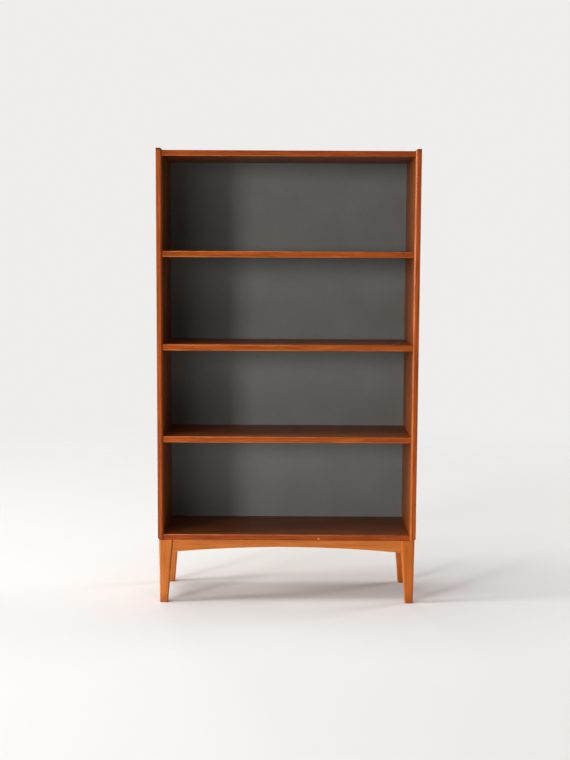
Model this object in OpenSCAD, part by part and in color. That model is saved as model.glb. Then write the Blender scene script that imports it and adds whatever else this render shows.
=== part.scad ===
// Bookcase with adjustable shelves, on a low base with tapered legs.
// Millimetres. The floor is z = 0, the front faces -Y, and the origin lies under the middle of the case.
// Pieces are drawn on the left (-X) and mirrored to the right.

/* [Case] */
// Width over both sides
case_w = 800; // [500:1:1200]
// Depth from the front edge to the rear edge of the sides
case_d = 280; // [230:1:400]
// Height of the sides
case_h = 1200; // [1050:1:1800]
// Thickness of the sides
side_t = 18; // [16:0.5:25]
// Thickness of the top and bottom panels
panel_t = 17; // [15:0.5:25]
// Height of the sides' top edges above the top panel
side_rise = 6; // [2:0.5:15]
// Distance of the panels' and shelves' front edges behind the sides' front edges
front_set = 4; // [0:0.5:10]

/* [Lippings] */
// Depth of the solid lipping on the front edge of each side
side_lip = 12; // [8:0.5:20]
// Height of the solid lipping that caps each side
top_lip = 5; // [5:0.5:12]
// Depth of the solid lipping on the panels and shelves
panel_lip = 8; // [5:0.5:15]
// Bevel on the inner arrises of the sides' lippings
arris_bevel = 4; // [1:0.5:5]
// Bevel on the outer bottom edge of each side
bottom_bevel = 6; // [1:0.5:8]
// Small bevel that eases the other arrises of the sides and lippings
arris_ease = 0.8; // [0.3:0.1:1.5]

/* [Back] */
// Thickness of the back panel
back_t = 4; // [3:0.5:6]
// Distance of the back panel inside the rear edges of the sides
back_set = 2; // [1:0.5:5]
// Width of the rabbet that holds each edge of the back panel
rabbet_w = 8; // [6:0.5:10]
// Gap between the back panel's edge and the wall of the rabbet
back_play = 0.5; // [0.2:0.1:0.9]
// Diameter of a back pin
pin_d = 1.6; // [1.2:0.1:2]
// Diameter of a back pin's head
pin_head_d = 3.2; // [2.5:0.1:4]
// Thickness of a back pin's head
pin_head_t = 0.6; // [0.4:0.1:0.9]
// Depth of a back pin in the wood behind the back panel
pin_bite = 16; // [10:1:20]
// Largest distance between two back pins
pin_pitch = 150; // [100:5:250]

/* [Shelves] */
// Thickness of a shelf
shelf_t = 18; // [15:0.5:25]
// Gap between a shelf's end and the side
shelf_end_play = 0.5; // [0.3:0.1:0.9]
// Gap between a shelf's rear edge and the back panel
shelf_back_gap = 3; // [1:0.5:10]
// Hole row that carries the lower shelf, counted from 0 at the bottom
lower_row = 6; // [1:1:10]
// Hole row that carries the middle shelf
middle_row = 14; // [12:1:17]
// Hole row that carries the upper shelf
upper_row = 22; // [19:1:24]

/* [Shelf wires] */
// Distance between two hole rows
row_pitch = 35.5; // [28:0.5:38]
// Height of the lowest hole row above the bottom panel
row_start = 85; // [50:1:110]
// Smallest height between the last hole row and the top panel
row_end = 75; // [40:1:90]
// Distance of the front holes behind the sides' front edges
wire_front_set = 36; // [28:1:60]
// Distance of the rear holes from the sides' rear edges
wire_back_set = 54; // [45:1:80]
// Diameter of the wire
wire_d = 3.2; // [2.5:0.1:4]
// Depth of a wire's end in the side
wire_reach = 11; // [8:0.5:13]
// Distance of the wire's straight run from the side
wire_stand = 4.5; // [4:0.5:8]
// Radius of the wire's bends, at its middle
wire_bend = 3.5; // [2.5:0.5:4]
// Gap around a wire's end in its hole
wire_play = 0.1; // [0.05:0.05:0.3]
// Gap between a wire and the groove's roof, on which the shelf hangs
groove_seat = 0.2; // [0.1:0.05:0.3]
// Gap between a wire and the groove's other walls
groove_play = 0.8; // [0.4:0.1:1.5]

/* [Legs] */
// Height of the legs
leg_h = 200; // [120:1:300]
// Width and depth of a leg at its top
leg_top = 43; // [36:0.5:50]
// Width of a leg at the floor
foot_w = 24; // [16:0.5:30]
// Depth of a leg at the floor
foot_d = 26; // [16:0.5:30]
// Distance of a foot's outer faces inside the leg's outer faces at the top
foot_in = 2.5; // [0:0.5:5]
// Radius of the legs' arrises at the top
leg_round = 6; // [1:0.5:6]
// Bevel around the underside of a foot
foot_bevel = 1.5; // [0.5:0.5:3]
// Distance of the legs inside the case's outer faces
base_side_set = 2.5; // [0:0.5:12]
// Distance of the legs behind the sides' front edges
base_front_set = 3; // [0:0.5:12]
// Distance of the legs inside the sides' rear edges
base_back_set = 6; // [0:0.5:20]

/* [Rails] */
// Thickness of the apron and the rails
rail_t = 20; // [16:0.5:22]
// Height of the apron at its ends, and of the rails
rail_h = 40; // [32:0.5:60]
// Height of the apron in the middle of its arch
apron_mid_h = 23; // [14:0.5:30]
// Distance of the apron and the rails behind the legs' outer faces
rail_set = 6; // [5:0.5:8]
// Thickness of a corner block
block_w = 20; // [16:1:26]
// Height of a corner block
block_h = 25; // [18:1:30]
// Gap between a corner block and the leg's inner corner
block_gap = 3; // [1:0.5:6]

/* [Dowels and screws] */
// Diameter of the dowels
dowel_d = 8; // [6:0.5:9]
// Depth of a dowel in a side
dowel_side_in = 10; // [6:1:12]
// Depth of a dowel in the end of a panel or rail
dowel_end_in = 20; // [12:1:30]
// Distance of the outer case dowels from the sides' edges
dowel_edge = 45; // [35:1:80]
// Distance of a rail dowel from the rail's top and bottom edges
rail_dowel_edge = 10; // [8:0.5:12]
// Wood between two rail dowels that meet in a leg
dowel_wall = 2; // [1:0.5:4]
// Gap around a dowel or screw in its hole
fit_play = 0.1; // [0.05:0.05:0.3]
// Gap beyond the end of a dowel, pin or screw
end_play = 0.5; // [0.2:0.1:0.9]
// Diameter of a base screw's shank
screw_d = 4; // [3:0.5:5]
// Diameter of a base screw's countersunk head
screw_head_d = 8; // [7:0.5:10]
// Depth of a base screw in the bottom panel
screw_bite = 10; // [6:1:12]

/* [Hidden] */
$fn = 48;
// Overlap of a cutting shape beyond the face that it opens
cut = 1;

// The sides' planes, seen on the left
side_out = case_w / 2;
side_in = side_out - side_t;
y_front = -case_d / 2;
y_back = case_d / 2;
z_case = leg_h;
z_top = z_case + case_h;

// The fixed panels and the back
y_panel = y_front + front_set;
y_back_face = y_back - back_set - back_t;
z_panel_top = z_top - side_rise;
back_half = side_in + rabbet_w - back_play;
pin_x = side_in + rabbet_w / 2;

// The hole rows and the wires
z_row0 = z_case + panel_t + row_start;
row_space = z_panel_top - panel_t - row_end - z_row0;
last_row = floor(row_space / row_pitch);
y_wire_front = y_front + wire_front_set;
y_wire_back = y_back - wire_back_set;

// The shelves
shelf_half = side_in - shelf_end_play;
y_shelf_back = y_back_face - shelf_back_gap;
groove_in = wire_stand + wire_d / 2 + groove_play - shelf_end_play;

// The base
base_half = side_out - base_side_set;
y_base_front = y_front + base_front_set;
y_base_back = y_back - base_back_set;
rail_in = rail_set + rail_t;
rail_dowel_x = rail_set + rail_t / 2;
rail_dowel_start = rail_dowel_x + dowel_d / 2 + dowel_wall;
block_start = 2 * (leg_top - rail_in) + block_gap * sqrt(2);
block_run = block_w * sqrt(2);
screw_xy = rail_in + (block_start + block_run / 2) / 2;
screw_head_h = (screw_head_d - screw_d) / 2;

function row_z(row) = z_row0 + row * row_pitch;
// Distance of a leg's inner face from its outer corner at the top, across the width and the depth, at height z
function leg_in_w(z) = foot_in + foot_w + (leg_top - foot_in - foot_w) * z / leg_h;
function leg_in_d(z) = foot_in + foot_d + (leg_top - foot_in - foot_d) * z / leg_h;
// Places that share out a length evenly, no further apart than the pitch
function spread(from, to, pitch) =
    let (n = max(1, ceil((to - from) / pitch)))
    [for (i = [0 : n]) from + (to - from) * i / n];

// ---- Colours of the woods, the paint and the steel ----
module teak_veneer() color([0.56, 0.28, 0.13]) children();
module solid_teak() color([0.64, 0.31, 0.13]) children();
module stained_beech() color([0.77, 0.43, 0.21]) children();
module plain_beech() color([0.80, 0.66, 0.48]) children();
module grey_paint() color([0.33, 0.33, 0.31]) children();
module steel() color([0.70, 0.70, 0.72]) children();

// ---- Shapes that repeat ----

// Draws a piece of the left half on the right
module on_right() mirror([1, 0, 0]) children();

// Cuts an arris at 45 degrees: it runs along +Z and takes size off +X and +Y
module arris_cut(size, length)
    translate([0, 0, -cut])
        linear_extrude(length + 2 * cut)
            polygon([[-cut, -cut], [size + cut, -cut], [-cut, size + cut]]);

// A round bar or hole along +X
module along_x(d, length)
    rotate([0, 90, 0])
        cylinder(d = d, h = length);

// A dowel along +Z with a small bevel at both ends
module dowel(length) {
    r = dowel_d / 2;
    bevel = dowel_d / 8;
    rotate_extrude()
        polygon([
            [0, 0], [r - bevel, 0], [r, bevel],
            [r, length - bevel], [r - bevel, length], [0, length]
        ]);
}

// ---- Sides ----

// Places of the case dowels along the depth of the case
function case_dowel_ys() = [y_front + dowel_edge, 0, y_back - dowel_edge];
// Heights of the middles of the two fixed panels
function panel_mid_zs() = [z_case + panel_t / 2, z_panel_top - panel_t / 2];
// Heights of the back pins in the sides, and places of those in the panels
function side_pin_zs() = spread(z_case + panel_t + dowel_edge, z_panel_top - panel_t - dowel_edge, pin_pitch);
function panel_pin_xs() = spread(-side_in + dowel_edge, side_in - dowel_edge, pin_pitch);

// The recess in a side's inner rear edge that holds the back panel
module back_rabbet()
    translate([-side_in - rabbet_w, y_back_face, z_case - cut])
        cube([rabbet_w + cut, back_set + back_t + cut, z_panel_top - z_case + cut]);

// Bevel on the outer bottom edge, over the whole depth
module bottom_edge_cut()
    translate([-side_out, y_back, z_case])
        rotate([90, 0, 0])
            arris_cut(bottom_bevel, case_d);

// Bevel on the inner front arris, over the whole height
module inner_arris_cut()
    translate([-side_in, y_front, z_case])
        mirror([1, 0, 0])
            arris_cut(arris_bevel, case_h);

// Bevel on the inner top arris and easing on the outer one, over the whole depth
module top_arris_cuts() {
    translate([-side_in, y_front, z_top])
        mirror([1, 0, 0])
            rotate([-90, 0, 0])
                arris_cut(arris_bevel, case_d);
    translate([-side_out, y_front, z_top])
        rotate([-90, 0, 0])
            arris_cut(arris_ease, case_d);
}

// Easing on the outer front and rear arrises, over the whole height
module outer_arris_cuts()
    for (rear = [0, 1])
        translate([-side_out, rear == 1 ? y_back : y_front, z_case])
            mirror([0, rear, 0])
                arris_cut(arris_ease, case_h);

module wire_holes()
    for (row = [0 : last_row], y = [y_wire_front, y_wire_back])
        translate([-side_in - wire_reach - end_play, y, row_z(row)])
            along_x(wire_d + 2 * wire_play, wire_reach + end_play + cut);

module side_dowel_holes()
    for (y = case_dowel_ys(), z = panel_mid_zs())
        translate([-side_in - dowel_side_in - end_play, y, z])
            along_x(dowel_d + 2 * fit_play, dowel_side_in + end_play + cut);

module side_pin_holes()
    for (z = side_pin_zs())
        translate([-pin_x, y_back_face + cut, z])
            pin_hole(cut);

module side_board()
    difference() {
        translate([-side_out, y_front + side_lip, z_case])
            cube([side_t, case_d - side_lip, case_h - top_lip]);
        back_rabbet();
        bottom_edge_cut();
        outer_arris_cuts();
        wire_holes();
        side_dowel_holes();
        side_pin_holes();
    }

// It stops under the top lipping
module side_front_lipping()
    difference() {
        translate([-side_out, y_front, z_case])
            cube([side_t, side_lip, case_h - top_lip]);
        inner_arris_cut();
        outer_arris_cuts();
        bottom_edge_cut();
    }

// It runs from front to back over the board and the front lipping, so its end grain shows in front
module side_top_lipping()
    difference() {
        translate([-side_out, y_front, z_top - top_lip])
            cube([side_t, case_d, top_lip]);
        inner_arris_cut();
        top_arris_cuts();
        outer_arris_cuts();
        back_rabbet();
    }

module left_side() teak_veneer() side_board();
module right_side() teak_veneer() on_right() side_board();
module left_side_front_lipping() solid_teak() side_front_lipping();
module right_side_front_lipping() solid_teak() on_right() side_front_lipping();
module left_side_top_lipping() solid_teak() side_top_lipping();
module right_side_top_lipping() solid_teak() on_right() side_top_lipping();

// ---- Fixed panels ----

// A board between the sides, from behind its lipping to the back panel
module fixed_panel(z)
    difference() {
        translate([-side_in, y_panel + panel_lip, z])
            cube([2 * side_in, y_back_face - y_panel - panel_lip, panel_t]);
        for (y = case_dowel_ys(), side = [0, 1])
            mirror([side, 0, 0])
                translate([-side_in - cut, y, z + panel_t / 2])
                    along_x(dowel_d + 2 * fit_play, dowel_end_in + end_play + cut);
        for (x = panel_pin_xs())
            translate([x, y_back_face + cut, z + panel_t / 2])
                pin_hole(cut);
    }

// A lipping across the front, with eased front arrises
module panel_front(half, z, t)
    difference() {
        translate([-half, y_panel, z])
            cube([2 * half, panel_lip, t]);
        for (top = [0, 1])
            translate([-half, y_panel, z + top * t])
                mirror([0, 0, top])
                    rotate([90, 0, 90])
                        arris_cut(arris_ease, 2 * half);
    }

module top_panel() teak_veneer() fixed_panel(z_panel_top - panel_t);
module top_panel_lipping() solid_teak() panel_front(side_in, z_panel_top - panel_t, panel_t);
module bottom_panel_lipping() solid_teak() panel_front(side_in, z_case, panel_t);

// The bottom panel also takes the points of the base screws
module bottom_panel()
    teak_veneer()
        difference() {
            fixed_panel(z_case);
            at_corners()
                translate([screw_xy, screw_xy, z_case - cut])
                    cylinder(d = screw_d + 2 * fit_play, h = screw_bite + end_play + cut);
        }

module case_dowels()
    plain_beech()
        for (y = case_dowel_ys(), z = panel_mid_zs(), side = [0, 1])
            mirror([side, 0, 0])
                translate([-side_in - dowel_side_in, y, z])
                    rotate([0, 90, 0])
                        dowel(dowel_side_in + dowel_end_in);

// ---- Back ----

// Hole for a pin, from its mouth on the rear side, through depth and then into the wood
module pin_hole(depth)
    rotate([90, 0, 0])
        cylinder(d = pin_d + 2 * fit_play, h = depth + pin_bite + end_play, $fn = 24);

// Every back pin's place on the rear face of the back panel
module at_pins() {
    for (z = side_pin_zs(), side = [-1, 1])
        translate([side * pin_x, y_back - back_set, z])
            children();
    for (x = panel_pin_xs(), z = panel_mid_zs())
        translate([x, y_back - back_set, z])
            children();
}

module back_panel()
    grey_paint()
        difference() {
            translate([-back_half, y_back_face, z_case])
                cube([2 * back_half, back_t, z_panel_top - z_case]);
            at_pins()
                translate([0, cut, 0])
                    pin_hole(back_t + cut);
        }

// A pin with a flat head, driven in from the rear
module back_pin() {
    tip = pin_d;
    length = back_t + pin_bite;
    rotate([90, 0, 0])
        rotate_extrude($fn = 24)
            polygon([
                [0, -pin_head_t], [pin_head_d / 2, -pin_head_t], [pin_head_d / 2, 0], [pin_d / 2, 0],
                [pin_d / 2, length - tip], [0, length]
            ]);
}

module back_pins() steel() at_pins() back_pin();

// ---- Shelves and their wires ----

// A board with a groove in each end, open at the rear and stopped near the front
module shelf_board(row) {
    z = row_z(row);
    y_groove = y_wire_front - wire_d / 2 - groove_play;
    z_groove = z - wire_d / 2 - groove_play;
    difference() {
        translate([-shelf_half, y_panel + panel_lip, z - shelf_t / 2])
            cube([2 * shelf_half, y_shelf_back - y_panel - panel_lip, shelf_t]);
        for (side = [0, 1])
            mirror([side, 0, 0])
                translate([-shelf_half - cut, y_groove, z_groove])
                    cube([groove_in + cut, y_shelf_back - y_groove + cut, wire_d + groove_play + groove_seat]);
    }
}

module shelf_front(row) panel_front(shelf_half, row_z(row) - shelf_t / 2, shelf_t);

// A wire with both ends bent into the side
module shelf_wire(row) {
    arm = wire_reach + wire_stand - wire_bend;
    translate([-side_in, 0, row_z(row)]) {
        for (y = [y_wire_front, y_wire_back])
            translate([-wire_reach, y, 0])
                along_x(wire_d, arm);
        translate([wire_stand - wire_bend, y_wire_front + wire_bend, 0])
            rotate([0, 0, -90])
                wire_corner();
        translate([wire_stand - wire_bend, y_wire_back - wire_bend, 0])
            wire_corner();
        translate([wire_stand, y_wire_front + wire_bend, 0])
            rotate([-90, 0, 0])
                cylinder(d = wire_d, h = y_wire_back - y_wire_front - 2 * wire_bend);
    }
}

module wire_corner()
    rotate_extrude(angle = 90)
        translate([wire_bend, 0])
            circle(d = wire_d);

module upper_shelf() teak_veneer() shelf_board(upper_row);
module upper_shelf_lipping() solid_teak() shelf_front(upper_row);
module upper_shelf_left_wire() steel() shelf_wire(upper_row);
module upper_shelf_right_wire() steel() on_right() shelf_wire(upper_row);
module middle_shelf() teak_veneer() shelf_board(middle_row);
module middle_shelf_lipping() solid_teak() shelf_front(middle_row);
module middle_shelf_left_wire() steel() shelf_wire(middle_row);
module middle_shelf_right_wire() steel() on_right() shelf_wire(middle_row);
module lower_shelf() teak_veneer() shelf_board(lower_row);
module lower_shelf_lipping() solid_teak() shelf_front(lower_row);
module lower_shelf_left_wire() steel() shelf_wire(lower_row);
module lower_shelf_right_wire() steel() on_right() shelf_wire(lower_row);

// ---- Base ----

// Moves what is drawn with a leg's outer corner at the origin to a corner of the base
module at_corner(right, rear)
    translate([(right ? 1 : -1) * base_half, rear ? y_base_back : y_base_front, 0])
        mirror([right ? 1 : 0, 0, 0])
            mirror([0, rear ? 1 : 0, 0])
                children();

module at_corners()
    for (right = [false, true], rear = [false, true])
        at_corner(right, rear)
            children();

// Heights of the two dowels in each rail joint
function rail_dowel_zs() = [leg_h - rail_dowel_edge, leg_h - rail_h + rail_dowel_edge];

// The dowels that leave a leg, along +X for the apron or rail and along +Y for the side rail
module at_rail_dowels()
    for (z = rail_dowel_zs()) {
        translate([rail_dowel_start, rail_dowel_x, z])
            rotate([0, 90, 0])
                children();
        translate([rail_dowel_x, rail_dowel_start, z])
            rotate([-90, 0, 0])
                children();
    }

rail_dowel_length = leg_top - rail_dowel_start + dowel_end_in;

module rail_dowel_holes()
    at_rail_dowels()
        translate([0, 0, -end_play])
            cylinder(d = dowel_d + 2 * fit_play, h = rail_dowel_length + 2 * end_play);

// Section of a leg at its top, with rounded arrises
module leg_section()
    offset(r = leg_round, $fn = 24)
        translate([leg_round, leg_round])
            square(leg_top - 2 * leg_round);

// A leg that tapers a lot on its two inner faces and a little on its outer ones, down to a bevelled foot
module leg() {
    share_w = foot_w / leg_top;
    share_d = foot_d / leg_top;
    // The point of the section that stays in place all the way down
    pole = [foot_in / (1 - share_w), foot_in / (1 - share_d), 0];
    difference() {
        translate([0, 0, leg_h])
            mirror([0, 0, 1])
                translate(pole)
                    linear_extrude(height = leg_h, scale = [share_w, share_d], slices = 1)
                        translate(-pole)
                            leg_section();
        rail_dowel_holes();
        for (far = [0, 1]) {
            translate([foot_in + far * foot_w, 0, 0])
                mirror([far, 0, 0])
                    mirror([0, 1, 0])
                        rotate([90, 0, 0])
                            arris_cut(foot_bevel, leg_top);
            translate([0, foot_in + far * foot_d, 0])
                mirror([0, far, 0])
                    rotate([90, 0, 90])
                        arris_cut(foot_bevel, leg_top);
        }
    }
}

module front_left_leg() stained_beech() at_corner(false, false) leg();
module front_right_leg() stained_beech() at_corner(true, false) leg();
module rear_left_leg() stained_beech() at_corner(false, true) leg();
module rear_right_leg() stained_beech() at_corner(true, true) leg();

// Outline of a rail whose ends follow the legs' tapered faces: x along the rail, y upwards
module rail_outline(half_top, half_bottom)
    polygon([[-half_top, leg_h], [-half_bottom, leg_h - rail_h], [half_bottom, leg_h - rail_h], [half_top, leg_h]]);

// A rail across the front or rear, standing on its outer face at y = 0
module cross_rail()
    translate([0, rail_t, 0])
        rotate([90, 0, 0])
            linear_extrude(rail_t)
                rail_outline(base_half - leg_top, base_half - leg_in_w(leg_h - rail_h));

// The apron's underside rises in one arc from leg to leg
module front_apron() {
    rise = rail_h - apron_mid_h;
    half = base_half - leg_in_w(leg_h - rail_h);
    arch_r = (half * half + rise * rise) / (2 * rise);
    stained_beech()
        difference() {
            translate([0, y_base_front + rail_set, 0])
                cross_rail();
            translate([0, y_base_front, leg_h - apron_mid_h - arch_r])
                rotate([-90, 0, 0])
                    cylinder(r = arch_r, h = leg_top, $fn = 720);
            at_corners()
                rail_dowel_holes();
        }
}

module rear_rail()
    stained_beech()
        difference() {
            translate([0, y_base_back - rail_set - rail_t, 0])
                cross_rail();
            at_corners()
                rail_dowel_holes();
        }

module side_rail() {
    half = (y_base_back - y_base_front) / 2;
    difference() {
        translate([-base_half + rail_set, (y_base_front + y_base_back) / 2, 0])
            rotate([90, 0, 90])
                linear_extrude(rail_t)
                    rail_outline(half - leg_top, half - leg_in_d(leg_h - rail_h));
        for (rear = [false, true])
            at_corner(false, rear)
                rail_dowel_holes();
    }
}

module left_rail() stained_beech() side_rail();
module right_rail() stained_beech() on_right() side_rail();

module rail_dowels()
    plain_beech()
        at_corners()
            at_rail_dowels()
                dowel(rail_dowel_length);

// ---- Corner blocks and screws ----

// A brace across the corner, from rail to rail, with a countersunk hole for the base screw
module corner_block()
    difference() {
        translate([rail_in, rail_in, leg_h - block_h])
            linear_extrude(block_h)
                polygon([
                    [block_start, 0], [block_start + block_run, 0],
                    [0, block_start + block_run], [0, block_start]
                ]);
        translate([screw_xy, screw_xy, leg_h - block_h])
            rotate_extrude()
                polygon([
                    [0, -cut], [screw_head_d / 2 + fit_play + cut, -cut], [screw_head_d / 2 + fit_play, 0],
                    [screw_d / 2 + fit_play, screw_head_h], [screw_d / 2 + fit_play, block_h + cut],
                    [0, block_h + cut]
                ]);
    }

module front_left_corner_block() plain_beech() at_corner(false, false) corner_block();
module front_right_corner_block() plain_beech() at_corner(true, false) corner_block();
module rear_left_corner_block() plain_beech() at_corner(false, true) corner_block();
module rear_right_corner_block() plain_beech() at_corner(true, true) corner_block();

// Countersunk wood screws, heads down, that hold the base to the bottom panel
module base_screws() {
    length = block_h + screw_bite;
    steel()
        at_corners()
            translate([screw_xy, screw_xy, leg_h - block_h])
                rotate_extrude()
                    polygon([
                        [0, 0], [screw_head_d / 2, 0], [screw_d / 2, screw_head_h],
                        [screw_d / 2, length - screw_d], [0, length]
                    ]);
}

left_side();
left_side_front_lipping();
left_side_top_lipping();
right_side();
right_side_front_lipping();
right_side_top_lipping();
top_panel();
top_panel_lipping();
bottom_panel();
bottom_panel_lipping();
back_panel();
back_pins();
case_dowels();
upper_shelf();
upper_shelf_lipping();
upper_shelf_left_wire();
upper_shelf_right_wire();
middle_shelf();
middle_shelf_lipping();
middle_shelf_left_wire();
middle_shelf_right_wire();
lower_shelf();
lower_shelf_lipping();
lower_shelf_left_wire();
lower_shelf_right_wire();
front_left_leg();
front_right_leg();
rear_left_leg();
rear_right_leg();
front_apron();
rear_rail();
left_rail();
right_rail();
rail_dowels();
front_left_corner_block();
front_right_corner_block();
rear_left_corner_block();
rear_right_corner_block();
base_screws();
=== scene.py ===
import math

import bmesh
import bpy
from mathutils import Matrix, Vector


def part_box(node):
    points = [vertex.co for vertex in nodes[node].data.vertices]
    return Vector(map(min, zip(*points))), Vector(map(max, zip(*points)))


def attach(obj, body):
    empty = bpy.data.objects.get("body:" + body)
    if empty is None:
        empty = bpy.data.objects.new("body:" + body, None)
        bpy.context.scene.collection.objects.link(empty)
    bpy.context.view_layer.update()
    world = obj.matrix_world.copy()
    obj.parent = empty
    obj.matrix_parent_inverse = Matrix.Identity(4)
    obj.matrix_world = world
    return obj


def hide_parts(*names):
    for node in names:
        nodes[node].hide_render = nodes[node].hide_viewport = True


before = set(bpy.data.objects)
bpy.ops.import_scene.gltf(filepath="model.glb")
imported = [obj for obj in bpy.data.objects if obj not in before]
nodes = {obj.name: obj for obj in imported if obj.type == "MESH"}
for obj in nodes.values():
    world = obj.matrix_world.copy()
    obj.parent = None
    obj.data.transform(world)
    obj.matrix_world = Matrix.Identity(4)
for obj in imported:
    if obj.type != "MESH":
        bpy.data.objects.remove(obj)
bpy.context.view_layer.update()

# ---- Camera ----
# It stands straight in front of the bookcase, level with the upper compartment, looks slightly down and is
# turned a little to one side around its own line of sight.
camera_place = Vector((-0.008, -3.781, 1.078))
look_down = math.radians(5.91)
roll = math.radians(0.29)
lens = bpy.data.cameras.new("camera")
lens.sensor_width = 36
lens.lens = 56.66
camera = bpy.data.objects.new("camera", lens)
camera.matrix_world = (
    Matrix.Translation(camera_place)
    @ Matrix.Rotation(math.radians(90) - look_down, 4, "X")
    @ Matrix.Rotation(roll, 4, "Z")
)
bpy.context.collection.objects.link(camera)
bpy.context.scene.camera = camera
bpy.context.scene.view_settings.view_transform = "Standard"

# ---- Lamps ----
# A tall softbox stands far off at the left front, like daylight from a window, with a wide weak one beside
# it. One stands straight to the left, and a wide one above lights the tops and the floor. Two weak ones
# behind light the rear and the right side.
middle = Vector((0, 0, 0.75))


def softbox(name, place, width, height, level, shine=True):
    """An area lamp aimed at the middle of the object; at level 1 it shows a facing colour as it is written.
    Without shine it lights surfaces, but leaves no highlight on them."""
    lamp = bpy.data.lights.new(name, "AREA")
    lamp.shape = "RECTANGLE"
    lamp.size = width
    lamp.size_y = height
    away = Vector(place) - middle
    lamp.energy = level * math.pi ** 2 * away.length_squared
    piece = bpy.data.objects.new(name, lamp)
    piece.matrix_world = Matrix.Translation(place) @ away.to_track_quat("Z", "Y").to_matrix().to_4x4()
    piece.visible_camera = False
    piece.visible_glossy = shine
    bpy.context.collection.objects.link(piece)


softbox("window_softbox", (-5.96, -6.74, 1.8), 1.6, 2.6, 0.5, shine=False)
softbox("front_softbox", (-3.8, -8.15, 1.7), 4.8, 2.4, 0.22, shine=False)
softbox("left_softbox", (-6.9, -1.25, 1.65), 1.4, 3.0, 0.8)
softbox("ceiling_softbox", (-1.5, -0.3, 8.0), 5.5, 5.5, 0.7)
softbox("rear_softbox", (-2.5, 6.5, 0.9), 2.0, 2.0, 0.45, shine=False)
softbox("right_softbox", (5.6, 2.1, 1.4), 2.0, 2.0, 0.5, shine=False)


def linear(code):
    """Turns an sRGB hex colour to linear RGBA."""
    channels = [int(code[i:i + 2], 16) / 255 for i in (0, 2, 4)]
    return [c / 12.92 if c <= 0.04045 else ((c + 0.055) / 1.055) ** 2.4 for c in channels] + [1.0]


def add(tree, kind, inputs, **settings):
    """Adds a shader node with its settings. An input is a value, a socket, or a node, whose first output it
    then takes."""
    node = tree.nodes.new("ShaderNode" + kind)
    for name, value in settings.items():
        setattr(node, name, value)
    for socket, value in inputs.items():
        if isinstance(value, bpy.types.Node):
            value = next(output for output in value.outputs if output.enabled)
        if isinstance(value, bpy.types.NodeSocket):
            tree.links.new(value, node.inputs[socket])
        else:
            node.inputs[socket].default_value = value
    return node


# The room's even light, and the pale background that the camera and reflections see
room_level = 0.08
background_colour = linear("EEEDEB")
world = bpy.data.worlds.new("room")
bpy.context.scene.world = world
world.use_nodes = True
tree = world.node_tree
rays = add(tree, "LightPath", {}).outputs
seen = add(tree, "Math", {0: rays["Is Camera Ray"], 1: rays["Is Glossy Ray"]}, operation="ADD")
seen = add(tree, "Math", {0: seen, 1: rays["Is Transmission Ray"]}, operation="ADD", use_clamp=True)
room = add(tree, "Background", {"Color": linear("FFFCF8"), "Strength": room_level})
backdrop = add(tree, "Background", {"Color": background_colour, "Strength": 1.0})
shown = add(tree, "MixShader", {0: seen, 1: room, 2: backdrop})
tree.links.new(shown.outputs[0], tree.nodes["World Output"].inputs["Surface"])

# ---- Floor ----
# A plain floor with dead-matt pale paint, which fades out into the background far from the object. From
# below it is clear, so that the underside of the object can be seen.
floor_radius = 7.0
fade_start = 1.2
fade_end = 4.0
bm = bmesh.new()
bmesh.ops.create_circle(bm, cap_ends=True, radius=floor_radius, segments=96)
mesh = bpy.data.meshes.new("floor")
bm.to_mesh(mesh)
bm.free()
floor = bpy.data.objects.new("floor", mesh)
bpy.context.collection.objects.link(floor)
painted_floor = bpy.data.materials.new("matt_white_floor_paint")
painted_floor.use_nodes = True
tree = painted_floor.node_tree
place = add(tree, "TexCoord", {}).outputs["Object"]
distance = add(tree, "VectorMath", {0: place}, operation="LENGTH").outputs["Value"]
fade = add(tree, "MapRange", {
    "Value": distance, "From Min": fade_start, "From Max": fade_end,
}, interpolation_type="SMOOTHSTEP")
from_below = add(tree, "NewGeometry", {}).outputs["Backfacing"]
unseen = add(tree, "Math", {0: fade, 1: from_below}, operation="MAXIMUM")
paint = tree.nodes["Principled BSDF"]
paint.inputs["Base Color"].default_value = linear("F2F1EF")
paint.inputs["Roughness"].default_value = 0.9
paint.inputs["Specular IOR Level"].default_value = 0.0
clear = add(tree, "BsdfTransparent", {})
faded = add(tree, "MixShader", {0: unseen, 1: paint, 2: clear})
tree.links.new(faded.outputs[0], tree.nodes["Material Output"].inputs["Surface"])
mesh.materials.append(painted_floor)

# ---- Sides ----
# Two boards faced with sliced teak veneer, its leaves book-matched, with the grain upright. Oiled, with a
# satin sheen. They are bored inside for the shelf wires and rabbeted behind for the back.
veneer_leaf = 0.134


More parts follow.
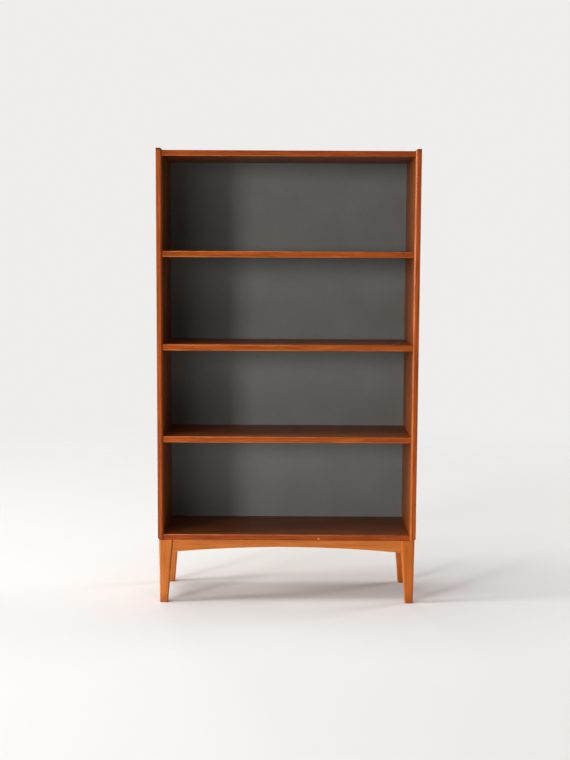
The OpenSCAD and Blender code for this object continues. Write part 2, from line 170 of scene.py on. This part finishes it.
def wood(name, grain, colours, ends, figure, streak, pore, pit_strength, satin, leaf=0.0):
    """A wood whose fibres run along the axis named by grain. Its colours are the pale and the deep band, the
    dark streak, which also serves for painted shade, the pore, and the rubbed arris, which also serves for
    painted highlight. Ends are the two colours of its cut ends. Figure and streak are the widths of bands and
    streaks, pore is a pore's length and width, and leaf is the width of a leaf of veneer, all in metres.
    Satin is the roughness of its finish."""
    material = bpy.data.materials.new(name)
    material.use_nodes = True
    tree = material.node_tree
    pale, deep, dark, pit, rubbed_and_lit = [linear(code) for code in colours]
    place = add(tree, "TexCoord", {}).outputs["Object"]
    axes = add(tree, "SeparateXYZ", {0: place}).outputs
    along, across, through = {"X": (0, 1, 2), "Y": (1, 0, 2), "Z": (2, 1, 0)}[grain]
    side = axes[across]
    if leaf:
        side = add(tree, "Math", {0: side, 1: leaf}, operation="PINGPONG")
    fibres = add(tree, "CombineXYZ", {0: axes[along], 1: side, 2: axes[through]})

    # The fibres wander by a few millimetres over half a metre
    wander = 0.010
    slow = add(tree, "Mapping", {"Vector": fibres, "Scale": (1 / 0.5, 1 / 0.0714, 1 / 0.0714)})
    sway = add(tree, "TexNoise", {"Vector": slow, "Scale": 1, "Detail": 1})
    sway = add(tree, "MapRange", {"Value": sway, "To Min": -wander, "To Max": wander})
    side = add(tree, "Math", {0: side, 1: sway}, operation="ADD")
    fibres = add(tree, "CombineXYZ", {0: axes[along], 1: side, 2: axes[through]})

    # Growth bands, far longer than they are wide
    stretch = 24
    size = (1 / (figure * stretch), 1 / figure, 1 / figure)
    bands = add(tree, "Mapping", {"Vector": fibres, "Scale": size})
    bands = add(tree, "TexNoise", {"Vector": bands, "Scale": 1, "Detail": 3, "Roughness": 0.55})
    bands = add(tree, "MapRange", {
        "Value": bands, "From Min": 0.34, "From Max": 0.66,
    }, interpolation_type="SMOOTHSTEP")
    colour = add(tree, "Mix", {0: bands, 6: pale, 7: deep}, data_type="RGBA")

    # Fine dark streaks, moved aside so that they don't follow the bands
    stretch = 45
    size = (1 / (streak * stretch), 1 / streak, 1 / streak)
    streaks = add(tree, "Mapping", {"Vector": fibres, "Scale": size, "Location": (3.1, 1.7, 5.3)})
    streaks = add(tree, "TexNoise", {"Vector": streaks, "Scale": 1, "Detail": 4, "Roughness": 0.6})
    streaks = add(tree, "MapRange", {
        "Value": streaks, "From Min": 0.48, "From Max": 0.72, "To Max": 0.9,
    }, interpolation_type="SMOOTHSTEP")
    colour = add(tree, "Mix", {0: streaks, 6: colour, 7: dark}, data_type="RGBA")

    # Open pores, short dashes along the grain, moved aside likewise
    size = (1 / pore[0], 1 / pore[1], 1 / pore[1])
    pores = add(tree, "Mapping", {"Vector": fibres, "Scale": size, "Location": (7.7, 2.9, 0.4)})
    pores = add(tree, "TexNoise", {"Vector": pores, "Scale": 1, "Detail": 1})
    pores = add(tree, "MapRange", {"Value": pores, "From Min": 0.6, "From Max": 0.7, "To Max": pit_strength})
    colour = add(tree, "Mix", {0: pores, 6: colour, 7: pit}, data_type="RGBA")

    # Cut ends show no streaks, but small flecks. They have drunk more oil, so they are darker and duller
    fleck = 0.0015
    normal = add(tree, "NewGeometry", {}).outputs["True Normal"]
    facing = add(tree, "SeparateXYZ", {0: normal}).outputs[along]
    facing = add(tree, "Math", {0: facing}, operation="ABSOLUTE")
    is_end = add(tree, "MapRange", {"Value": facing, "From Min": 0.75, "From Max": 0.9})
    flecks = add(tree, "TexNoise", {"Vector": place, "Scale": 1 / fleck, "Detail": 3, "Roughness": 0.7})
    flecks = add(tree, "MapRange", {"Value": flecks, "From Min": 0.38, "From Max": 0.62})
    cut = add(tree, "Mix", {0: flecks, 6: linear(ends[0]), 7: linear(ends[1])}, data_type="RGBA")
    colour = add(tree, "Mix", {0: is_end, 6: colour, 7: cut}, data_type="RGBA")

    # Whole regions are a little lighter or darker
    region = 0.222
    tone = add(tree, "TexNoise", {"Vector": place, "Scale": 1 / region, "Detail": 2})
    tone = add(tree, "MapRange", {
        "Value": tone, "From Min": 0.3, "From Max": 0.7, "To Min": 0.88, "To Max": 1.10,
    })
    colour = add(tree, "HueSaturation", {"Value": tone, "Color": colour})

    # Arrises marked above 0 are rubbed pale in patches, as wear and in places as painted highlight, and from
    # 2 to 4 they are chipped down to raw wood. Those marked below 0 are darkened with painted shade, at the
    # feet together with scuffing
    rubbed_patch = 0.0455
    raw_wood = linear("E6B98A")
    wear_and_painted_light = add(tree, "Attribute", {}, attribute_name="wear_and_painted_light").outputs["Fac"]
    patch = add(tree, "TexNoise", {"Vector": place, "Scale": 1 / rubbed_patch, "Detail": 3})
    patch = add(tree, "MapRange", {
        "Value": patch, "From Min": 0.35, "From Max": 0.65, "To Min": 0.15, "To Max": 0.8,
    })
    rub_and_highlight = add(tree, "Math", {0: wear_and_painted_light, 1: patch}, operation="MULTIPLY", use_clamp=True)
    colour = add(tree, "Mix", {0: rub_and_highlight, 6: colour, 7: rubbed_and_lit}, data_type="RGBA")
    chip = add(tree, "MapRange", {"Value": wear_and_painted_light, "From Min": 2, "From Max": 4})
    colour = add(tree, "Mix", {0: chip, 6: colour, 7: raw_wood}, data_type="RGBA")
    # Painted shade: marks below 0 darken the colour towards the dark streak colour
    painted_shade = add(tree, "Math", {0: wear_and_painted_light, 1: -0.6}, operation="MULTIPLY", use_clamp=True)
    colour = add(tree, "Mix", {0: painted_shade, 6: colour, 7: dark}, data_type="RGBA")

    # The finish is thin and follows the pores, so it has a weaker sheen than a full coat of lacquer
    end_roughness = 0.8
    pore_depth = 0.0003
    shader = tree.nodes["Principled BSDF"]
    tree.links.new(colour.outputs[2], shader.inputs["Base Color"])
    gloss = add(tree, "MapRange", {"Value": streaks, "To Min": satin - 0.04, "To Max": satin + 0.12})
    gloss = add(tree, "Mix", {0: is_end, 2: gloss, 3: end_roughness}, data_type="FLOAT")
    tree.links.new(gloss.outputs[0], shader.inputs["Roughness"])
    shader.inputs["IOR"].default_value = 1.5
    shader.inputs["Specular IOR Level"].default_value = 0.21
    depth = add(tree, "Math", {0: pores, 1: streaks}, operation="ADD")
    bump = add(tree, "Bump", {"Height": depth, "Strength": 0.25, "Distance": pore_depth}, invert=True)
    tree.links.new(bump.outputs[0], shader.inputs["Normal"])
    return material


def dress(material, *names):
    """Gives CAD nodes their finish."""
    for name in names:
        for slot in nodes[name].material_slots:
            slot.material = material


# Teak's pores are really 0.3 mm wide and are drawn twice as coarse, so that they show. Under the veneer lies
# chipboard, which shows in the holes and at the cut ends.
teak_veneer = {
    "colours": ("904B1D", "733A12", "55280D", "391B0A", "A36337"), "ends": ("B98F5F", "8F6840"),
    "figure": 0.013, "streak": 0.0035, "pore": (0.016, 0.0006), "pit_strength": 0.55, "satin": 0.43,
    "leaf": veneer_leaf,
}
dress(wood("oiled_teak_veneer_upright", "Z", **teak_veneer), "left_side", "right_side")

# ---- Lippings of the sides ----
# Solid teak strips glued to the front and top edges of the sides. The top one runs over the front one, so
# its end grain shows. The inner front and top arrises and the foot of the outer face have a broad flat bevel,
# and the rest are eased by hand. The right side's inner arrises carry a painted highlight, and the left
# side's inner arrises and all outer arrises carry painted shade.
broad_bevel = 0.004
foot_cut = 0.006
easing = 0.0012
mark_fade = 0.0018
# Places nearer to each other than this are the same
near = 1e-5


def block(low, high):
    """A plain block between two corners, with a value for wear and painted light at each corner."""
    bm = bmesh.new()
    bm.verts.layers.float.new("wear_and_painted_light")
    bmesh.ops.create_cube(bm, size=1)
    bmesh.ops.scale(bm, vec=high - low, verts=bm.verts)
    bmesh.ops.translate(bm, vec=(low + high) / 2, verts=bm.verts)
    return bm


def cut_across(bm, point, direction, faces=None, clear=False):
    """Cuts all faces, or the named ones, with a plane, and may clear what lies beyond it."""
    if faces is None:
        geometry = bm.verts[:] + bm.edges[:] + bm.faces[:]
    else:
        geometry = [part for face in faces for part in [face, *face.edges, *face.verts]]
    return bmesh.ops.bisect_plane(
        bm, geom=geometry, dist=near / 10, plane_co=point, plane_no=direction, clear_outer=clear)


def plane_off(bm, point, outwards):
    """Planes off all that lies beyond a flat cut, and closes the cut."""
    cut = cut_across(bm, point, outwards, clear=True)
    rim = [part for part in cut["geom_cut"] if isinstance(part, bmesh.types.BMEdge)]
    bmesh.ops.contextual_create(bm, geom=rim)


def ease(bm, width, wear_and_painted_light, hidden, sharp=math.radians(20)):
    """Rounds the arrises that show, and marks them with wear and painted light. The given function gives the
    amount at a place: above 0 for wear and painted highlight, below 0 for painted shade. It fades out on the
    wide faces beside the arris. Hidden faces are given as (axis, place)."""
    def shows(edge):
        return not any(all(abs(vert.co[axis] - at) < near for vert in edge.verts) for axis, at in hidden)

    arrises = [edge for edge in bm.edges if edge.calc_face_angle(0) > sharp and shows(edge)]
    rounded = bmesh.ops.bevel(
        bm, geom=arrises, offset=width, offset_type="OFFSET", segments=2, profile=0.5,
        affect="EDGES", clamp_overlap=True, material=-1)
    layer = bm.verts.layers.float["wear_and_painted_light"]
    for face in rounded["faces"]:
        face.smooth = True
        for vert in face.verts:
            vert[layer] = wear_and_painted_light(vert.co)
    fresh = set(rounded["faces"])
    wide = [face for face in bm.faces
            if face not in fresh and 2 * face.calc_area() > 3 * mark_fade * face.calc_perimeter()]
    bmesh.ops.inset_individual(bm, faces=wide, thickness=mark_fade)
    for face in wide:
        for vert in face.verts:
            vert[layer] = 0


def finish(bm, name, node, body, material):
    """Makes the mesh a piece that stands for a CAD node and rides on its body."""
    bmesh.ops.recalc_face_normals(bm, faces=bm.faces)
    mesh = bpy.data.meshes.new(name)
    bm.to_mesh(mesh)
    bm.free()
    mesh.materials.append(material)
    piece = bpy.data.objects.new(name, mesh)
    bpy.context.collection.objects.link(piece)
    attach(piece, body)
    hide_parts(node)


solid_teak = {
    "colours": ("AE5314", "953F0D", "722D09", "4A1D08", "CC7838"), "ends": ("451D0A", "2E1306"),
    "figure": 0.006, "streak": 0.0022, "pore": (0.016, 0.0006), "pit_strength": 0.55, "satin": 0.4,
}
lipping_upright = wood("oiled_solid_teak_upright", "Z", **solid_teak)
lipping_deep = wood("oiled_solid_teak_front_to_back", "Y", **solid_teak)
# The inner arrises get painted shade on the left side and a painted highlight on the right side
for side, inwards, inner_painted_light in (("left", 1, -1), ("right", -1, 0.35)):
    for part, material in (("front", lipping_upright), ("top", lipping_deep)):
        node = side + "_side_" + part + "_lipping"
        low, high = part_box(node)
        inner = high.x if inwards > 0 else low.x
        outer = low.x if inwards > 0 else high.x
        bm = block(low, high)
        plane_off(bm, (inner - inwards * broad_bevel, low.y, 0), (inwards, -1, 0))
        if part == "front":
            plane_off(bm, (outer + inwards * foot_cut, 0, low.z), (-inwards, 0, -1))
            hidden = [(1, high.y), (2, high.z)]
        else:
            plane_off(bm, (inner - inwards * broad_bevel, 0, high.z), (inwards, 0, 1))
            hidden = [(2, low.z)]
        # Painted shade darkens the outer arrises on both sides
        ease(bm, easing, lambda place: -1 if abs(place.x - outer) < 2 * easing else inner_painted_light, hidden)
        finish(bm, side + "_" + part + "_strip", node, "case", material)

# ---- Top and bottom panels ----
# Veneered boards dowelled between the sides, with the grain along the case, each with a solid teak lipping
# glued to its front edge. Their veneer is a darker copy of the shelves', as painted shade on the top's
# underside and the bottom's upper face inside the case, and their strips are drawn a little darker than the
# shelves'.
shaded_veneer = {**teak_veneer, "colours": ("82451A", "683510", "4D240B", "331808", "945C32")}
panel_veneer = wood("teak_veneer_with_painted_shade_level", "X", **shaded_veneer)
dress(panel_veneer, "top_panel", "bottom_panel")
darker_teak = {**solid_teak, "colours": ("A04812", "8A370B", "682809", "441A07", "BE6C31")}
lipping_level = wood("darker_solid_teak_level", "X", **darker_teak)


def front_strip(node, top_wear_and_shade, bottom_wear_and_shade):
    """The lipping of a panel or shelf, with its front arrises eased and marked above and below with the given
    amounts of wear and painted light.
    """
    low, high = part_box(node)
    bm = block(low, high)
    middle = (low.z + high.z) / 2
    ease(bm, easing, lambda place: top_wear_and_shade if place.z > middle else bottom_wear_and_shade,
         hidden=[(1, high.y), (0, low.x), (0, high.x)])
    return bm


# The upper arris of the top strip is darkened with painted shade, and its lower arris is drawn pale
bm = front_strip("top_panel_lipping", -1, 1)
finish(bm, "top_front_strip", "top_panel_lipping", "case", lipping_level)

# The bottom strip has a small old dent above its lower arris, right of the middle, down to bare wood
dent_x = 0.099
dent_rise = 0.0045
dent_half = 0.0028
dent_depth = 0.0012
down_to_bare_wood = 9
low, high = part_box("bottom_panel_lipping")
# The lower arris of the bottom strip, where it meets the apron, is darkened with painted shade, and its upper
# arris is rubbed pale
bm = front_strip("bottom_panel_lipping", 1, -1)
for step in (-dent_half, 0, dent_half):
    cut_across(bm, (dent_x + step, 0, 0), (1, 0, 0))
    cut_across(bm, (0, 0, low.z + dent_rise + step), (0, 0, 1))
dent = min(bm.verts, key=lambda vert: (vert.co - Vector((dent_x, low.y, low.z + dent_rise))).length)
dent.co.y += dent_depth
dent[bm.verts.layers.float["wear_and_painted_light"]] = down_to_bare_wood
finish(bm, "bottom_front_strip", "bottom_panel_lipping", "case", lipping_level)

# ---- Shelves ----
# Three loose veneered boards with a stopped groove in each end, which slides over a wire, and a solid teak
# lipping on the front edge, whose arrises are rubbed by books and hands.
veneer_level = wood("oiled_teak_veneer_level", "X", **teak_veneer)
shelf_lipping = wood("oiled_solid_teak_of_shelves", "X", **solid_teak)
for name in ("upper_shelf", "middle_shelf", "lower_shelf"):
    dress(veneer_level, name)
    bm = front_strip(name + "_lipping", 1, 1)
    finish(bm, name + "_front_strip", name + "_lipping", name, shelf_lipping)

# ---- Shelf wires ----
# Drawn steel wire, zinc-plated, bent at both ends and plugged into the sides. One runs in the groove at each
# end of a shelf and carries it. The plating is grey and silky, with a few duller spots.


def steel(name, colour, rough):
    """Drawn steel with fine marks along it and a few duller spots."""
    material = bpy.data.materials.new(name)
    material.use_nodes = True
    tree = material.node_tree
    place = add(tree, "TexCoord", {}).outputs["Object"]
    # The marks of the drawing die run along the wire, which lies from front to back
    mark_width = 1 / 6000
    mark_length = 0.005
    size = (1 / mark_width, 1 / mark_length, 1 / mark_width)
    marks = add(tree, "Mapping", {"Vector": place, "Scale": size})
    marks = add(tree, "TexNoise", {"Vector": marks, "Scale": 1, "Detail": 2})
    spot = 0.003846
    spots = add(tree, "TexNoise", {"Vector": place, "Scale": 1 / spot, "Detail": 3})
    dull = add(tree, "MapRange", {
        "Value": spots, "From Min": 0.4, "From Max": 0.7, "To Min": 1.0, "To Max": 0.72,
    })
    colour = add(tree, "HueSaturation", {"Value": dull, "Color": linear(colour)})
    shader = tree.nodes["Principled BSDF"]
    tree.links.new(colour.outputs[0], shader.inputs["Base Color"])
    gloss = add(tree, "MapRange", {"Value": marks, "To Min": rough - 0.06, "To Max": rough + 0.1})
    tree.links.new(gloss.outputs[0], shader.inputs["Roughness"])
    shader.inputs["Metallic"].default_value = 1.0
    bump = add(tree, "Bump", {"Height": marks, "Strength": 0.1, "Distance": 0.00005})
    tree.links.new(bump.outputs[0], shader.inputs["Normal"])
    return material


plated_wire = steel("zinc_plated_drawn_wire", "B9BABB", 0.32)
for name in ("upper", "middle", "lower"):
    dress(plated_wire, name + "_shelf_left_wire", name + "_shelf_right_wire")

# ---- Back ----
# A sheet of hardboard let into the sides' rabbets. Its front is painted a dark warm grey with a roller,
# which leaves a fine stipple. Its rear is the bare brown board with the print of the press's wire screen.
painted_hardboard = bpy.data.materials.new("hardboard_with_matt_grey_paint")
painted_hardboard.use_nodes = True
tree = painted_hardboard.node_tree
place = add(tree, "TexCoord", {}).outputs["Object"]
# The stipple is really about 1 mm wide and is drawn three times as coarse, so that it shows
stipple_width = 0.003
cloud_width = 0.12
stipple = add(tree, "TexNoise", {"Vector": place, "Scale": 1 / stipple_width, "Detail": 3, "Roughness": 0.6})
cloud = add(tree, "TexNoise", {"Vector": place, "Scale": 1 / cloud_width, "Detail": 3})
cloud = add(tree, "MapRange", {"Value": cloud, "From Min": 0.3, "From Max": 0.7})
coat = add(tree, "Mix", {0: cloud, 6: linear("696A66"), 7: linear("6E706D")}, data_type="RGBA")
thin = add(tree, "MapRange", {
    "Value": stipple, "From Min": 0.3, "From Max": 0.7, "To Min": 0.9, "To Max": 1.08,
})
coat = add(tree, "HueSaturation", {"Value": thin, "Color": coat.outputs[2]})
screen_pitch = 0.0018
fluff_width = 0.03
screen = add(tree, "Mapping", {"Vector": place, "Scale": (1 / screen_pitch, 1, 1 / screen_pitch)})
screen = add(tree, "TexVoronoi", {"Vector": screen, "Scale": 1, "Randomness": 0.1})
fluff = add(tree, "TexNoise", {"Vector": place, "Scale": 1 / fluff_width, "Detail": 6, "Roughness": 0.7})
bare = add(tree, "Mix", {0: fluff, 6: linear("6E4A2E"), 7: linear("94694A")}, data_type="RGBA")
facing = add(tree, "SeparateXYZ", {0: add(tree, "NewGeometry", {}).outputs["Normal"]}).outputs
rear = add(tree, "Math", {0: facing[1], 1: 0.5}, operation="GREATER_THAN")
colour = add(tree, "Mix", {0: rear, 6: coat, 7: bare}, data_type="RGBA")
height = add(tree, "Mix", {0: rear, 2: stipple, 3: screen}, data_type="FLOAT")
bump = add(tree, "Bump", {"Height": height, "Strength": 0.35, "Distance": 0.0003})
shader = tree.nodes["Principled BSDF"]
tree.links.new(colour.outputs[2], shader.inputs["Base Color"])
tree.links.new(bump.outputs[0], shader.inputs["Normal"])
shader.inputs["Roughness"].default_value = 0.72
dress(painted_hardboard, "back_panel")

# ---- Back pins ----
# Thin flat-headed pins of bright drawn steel, hammered in from the rear around the edge of the back. Only
# their heads show.
pin_steel = steel("bright_pin_steel", "9C9C9B", 0.4)
dress(pin_steel, "back_pins")

# ---- Dowels ----
# Turned beech dowels, glued between the sides and the panels, and between the legs and the rails. The wood
# is bare, pale and planed.
bare_wood = {
    "colours": ("D9BC93", "CFAE82", "BC976B", "A98458", "DCC29C"), "ends": ("C6A072", "AD875A"),
    "figure": 0.012, "streak": 0.003, "pore": (0.003, 0.0006), "pit_strength": 0.4, "satin": 0.6,
}
bare_beech = wood("planed_bare_beech", "X", **bare_wood)
dress(bare_beech, "case_dowels", "rail_dowels")

# ---- Legs ----
# Square beech legs with well-rounded arrises, sawn to a taper, strongly on the inner faces and slightly on
# the outer ones, with bevelled feet, darkened at the bottom with painted contact shade and scuffing. They are
# stained honey brown under a dull lacquer, and the two on the right are a darker copy of it, as painted
# shade.
foot_width = 0.024
foot_depth = 0.026
foot_in = 0.0025
leg_arris = 0.006
foot_bevel = 0.0015
top_easing = 0.0008
darkened_foot_height = 0.035
scuff_and_contact_shade = -1.6
stained_wood = {
    "colours": ("C57132", "BA6628", "A45621", "8D4A1D", "DA9854"), "ends": ("8E4C1C", "6F3813"),
    "figure": 0.010, "streak": 0.0025, "pore": (0.003, 0.0006), "pit_strength": 0.4, "satin": 0.6,
}
# The right-hand legs get a darker copy of the stain, as painted shade
shaded_wood = {**stained_wood, "colours": ("B76322", "AD591B", "984B16", "834114", "CB8740")}
honey_upright = wood("honey_stained_beech_upright", "Z", **stained_wood)
shaded_upright = wood("honey_stained_beech_with_painted_shade_upright", "Z", **shaded_wood)
for rear in (False, True):
    for right in (False, True):
        name = ("rear_" if rear else "front_") + ("right_leg" if right else "left_leg")
        low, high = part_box(name)
        size = high - low
        outer = Vector((high.x if right else low.x, high.y if rear else low.y, 0))
        inwards = Vector((-1 if right else 1, -1 if rear else 1, 0))
        bm = block(low, high)
        upright = [edge for edge in bm.edges if abs(edge.verts[0].co.z - edge.verts[1].co.z) > size.z / 2]
        around = bmesh.ops.bevel(
            bm, geom=upright, offset=leg_arris, offset_type="OFFSET", segments=6, profile=0.5,
            affect="EDGES", material=-1)
        for face in around["faces"]:
            face.smooth = True
        for vert in bm.verts:
            if vert.co.z < low.z + near:
                across = foot_in + abs(vert.co.x - outer.x) * foot_width / size.x
                deep = foot_in + abs(vert.co.y - outer.y) * foot_depth / size.y
                vert.co.x = outer.x + inwards.x * across
                vert.co.y = outer.y + inwards.y * deep
        for height, width in ((low.z, foot_bevel), (high.z, top_easing)):
            ring = [edge for edge in bm.edges if all(abs(vert.co.z - height) < near for vert in edge.verts)]
            bmesh.ops.bevel(bm, geom=ring, offset=width, offset_type="OFFSET", segments=1, profile=0.5,
                            affect="EDGES", material=-1)
        # The bottom of each foot is darkened: painted contact shade together with scuffing
        cut_across(bm, (0, 0, low.z + darkened_foot_height), (0, 0, 1))
        layer = bm.verts.layers.float["wear_and_painted_light"]
        for vert in bm.verts:
            if vert.co.z < low.z + darkened_foot_height / 2:
                vert[layer] = scuff_and_contact_shade
        material = shaded_upright if right else honey_upright
        finish(bm, name + "_wood", name, "case", material)

# ---- Apron and rails ----
# Stained beech rails dowelled between the legs, whose ends are cut to the legs' taper. The front apron's
# underside rises in one long arc. The lower arrises are eased.
arch_rise = 0.017
arch_steps = 64
rail_easing = 0.0012
apron_wear = 0.6
rail_wear = 0.4
bend = math.radians(60)
honey_level = wood("honey_stained_beech_level", "X", **stained_wood)
honey_deep = wood("honey_stained_beech_front_to_back", "Y", **stained_wood)
leg_low, leg_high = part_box("front_left_leg")
leg_size = leg_high - leg_low
low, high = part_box("front_apron")
rail_height = high.z - low.z
width_lean = (leg_size.x - foot_in - foot_width) / leg_size.z * rail_height
depth_lean = (leg_size.y - foot_in - foot_depth) / leg_size.z * rail_height
half = high.x
radius = (half ** 2 + arch_rise ** 2) / (2 * arch_rise)
centre = Vector((0, low.y, low.z + arch_rise - radius))
bm = bmesh.new()
bm.verts.layers.float.new("wear_and_painted_light")
start = bm.verts.new((-half, low.y, low.z))
arc = bmesh.ops.spin(
    bm, geom=[start], cent=centre, axis=(0, 1, 0), angle=2 * math.asin(half / radius), steps=arch_steps)
end = next(part for part in arc["geom_last"] if isinstance(part, bmesh.types.BMVert))
top_right = bm.verts.new((half - width_lean, low.y, high.z))
top_left = bm.verts.new((-half + width_lean, low.y, high.z))
bm.edges.new((end, top_right))
bm.edges.new((top_right, top_left))
bm.edges.new((top_left, start))
front = bmesh.ops.contextual_create(bm, geom=bm.edges[:])
solid = bmesh.ops.extrude_face_region(bm, geom=front["faces"] + bm.edges[:], use_keep_orig=True)
moved = [part for part in solid["geom"] if isinstance(part, bmesh.types.BMVert)]
bmesh.ops.translate(bm, vec=(0, high.y - low.y, 0), verts=moved)
bmesh.ops.recalc_face_normals(bm, faces=bm.faces)
ease(bm, rail_easing, lambda place: apron_wear, hidden=[(2, high.z)], sharp=bend)
finish(bm, "front_apron_wood", "front_apron", "case", honey_level)

for name, along, lean, material in (
        ("rear_rail", 0, width_lean, honey_level),
        ("left_rail", 1, depth_lean, honey_deep),
        ("right_rail", 1, depth_lean, honey_deep)):
    low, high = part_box(name)
    bm = block(low, high)
    for vert in bm.verts:
        if vert.co.z > high.z - near:
            vert.co[along] -= math.copysign(lean, vert.co[along])
    ease(bm, rail_easing, lambda place: rail_wear, hidden=[(2, high.z)], sharp=bend)
    finish(bm, name + "_wood", name, "case", material)

# ---- Corner blocks and screws ----
# Bare beech blocks glued across the corners of the base, each with a slotted countersunk screw that holds
# the base to the case, head down.
dress(bare_beech, "front_left_corner_block", "front_right_corner_block")
dress(bare_beech, "rear_left_corner_block", "rear_right_corner_block")
head_radius = 0.004
shank_radius = 0.002
point_radius = 0.0002
point_length = 0.004
slot_half = 0.0005
slot_depth = 0.001
slot_draft = 0.0001
low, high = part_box("base_screws")
rims = (
    (low.z + head_radius - shank_radius, shank_radius),
    (high.z - point_length, shank_radius),
    (high.z, point_radius),
)


def face_at(bm, place):
    """The face whose middle is nearest to a place."""
    return min(bm.faces, key=lambda face: (face.calc_center_median() - place).length)


bm = bmesh.new()
for x in (low.x + head_radius, high.x - head_radius):
    for y in (low.y + head_radius, high.y - head_radius):
        axis = Vector((x, y, low.z))
        bmesh.ops.create_circle(
            bm, cap_ends=True, radius=head_radius, segments=32, matrix=Matrix.Translation(axis))
        # The slot is sunk into the strip between two cuts across the head
        for offset in (-slot_half, slot_half):
            cut_across(bm, axis + Vector((offset, 0, 0)), (1, 0, 0), faces=[face_at(bm, axis)])
        strip = face_at(bm, axis)
        bmesh.ops.inset_individual(bm, faces=[strip], thickness=slot_draft)
        bmesh.ops.translate(bm, vec=(0, 0, slot_depth), verts=strip.verts)
        rim = [edge for edge in bm.edges if edge.is_boundary]
        radius = head_radius
        for height, next_radius in rims:
            bmesh.ops.extrude_edge_only(bm, edges=rim)
            rim = [edge for edge in bm.edges if edge.is_boundary]
            verts = list({vert for edge in rim for vert in edge.verts})
            bmesh.ops.translate(bm, vec=(0, 0, height - verts[0].co.z), verts=verts)
            share = next_radius / radius
            bmesh.ops.scale(bm, vec=(share, share, 1), space=Matrix.Translation(-axis), verts=verts)
            radius = next_radius
        bmesh.ops.contextual_create(bm, geom=rim)
finish(bm, "slotted_base_screws", "base_screws", "case", pin_steel)
